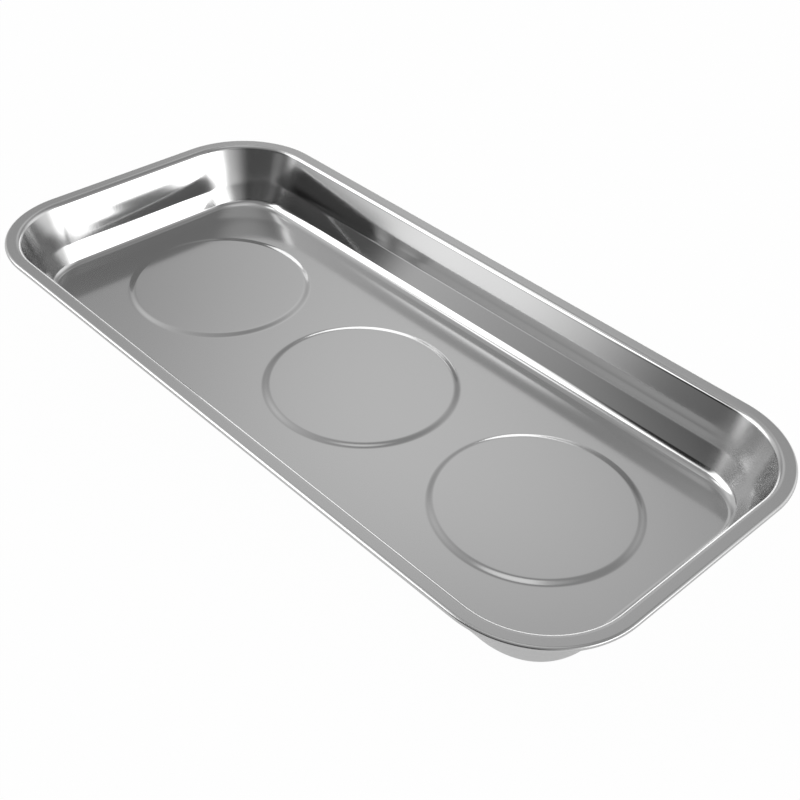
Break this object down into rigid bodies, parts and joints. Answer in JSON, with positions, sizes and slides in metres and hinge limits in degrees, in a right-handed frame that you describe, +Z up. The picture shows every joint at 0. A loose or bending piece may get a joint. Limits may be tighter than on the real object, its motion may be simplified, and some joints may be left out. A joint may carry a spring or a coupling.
{
  "type": "magnetic parts tray",
  "caption": "Long stainless tray with a rolled rim and leaning walls, with raised round discs over rubber-booted ring magnets that hold loose steel parts and grip a steel surface.",
  "frame": {"origin": "centre of the tray's plan, on the surface that the rubber boots stand on", "axes": "+X along the tray's length, +Y across its width, +Z up, out of the open pan"},
  "size_m": [0.36, 0.17, 0.0419],
  "materials": {
    "stainless_sheet": "satin",
    "zinc_steel": "satin",
    "ferrite": "matte",
    "black_rubber": "matte"
  },
  "bodies": {
    "root": {"tray_pan": "stainless_sheet", "weld_boss_left": "zinc_steel", "weld_boss_middle": "zinc_steel", "weld_boss_right": "zinc_steel", "ring_magnet_left": "ferrite", "ring_magnet_middle": "ferrite", "ring_magnet_right": "ferrite", "backing_cup_left": "zinc_steel", "backing_cup_middle": "zinc_steel", "backing_cup_right": "zinc_steel", "rubber_boot_left": "black_rubber", "rubber_boot_middle": "black_rubber", "rubber_boot_right": "black_rubber", "flat_washer_left": "zinc_steel", "flat_washer_middle": "zinc_steel", "flat_washer_right": "zinc_steel", "spring_washer_left": "zinc_steel", "spring_washer_middle": "zinc_steel", "spring_washer_right": "zinc_steel", "screw_left": "zinc_steel", "screw_middle": "zinc_steel", "screw_right": "zinc_steel"}
  },
  "joints": []
}
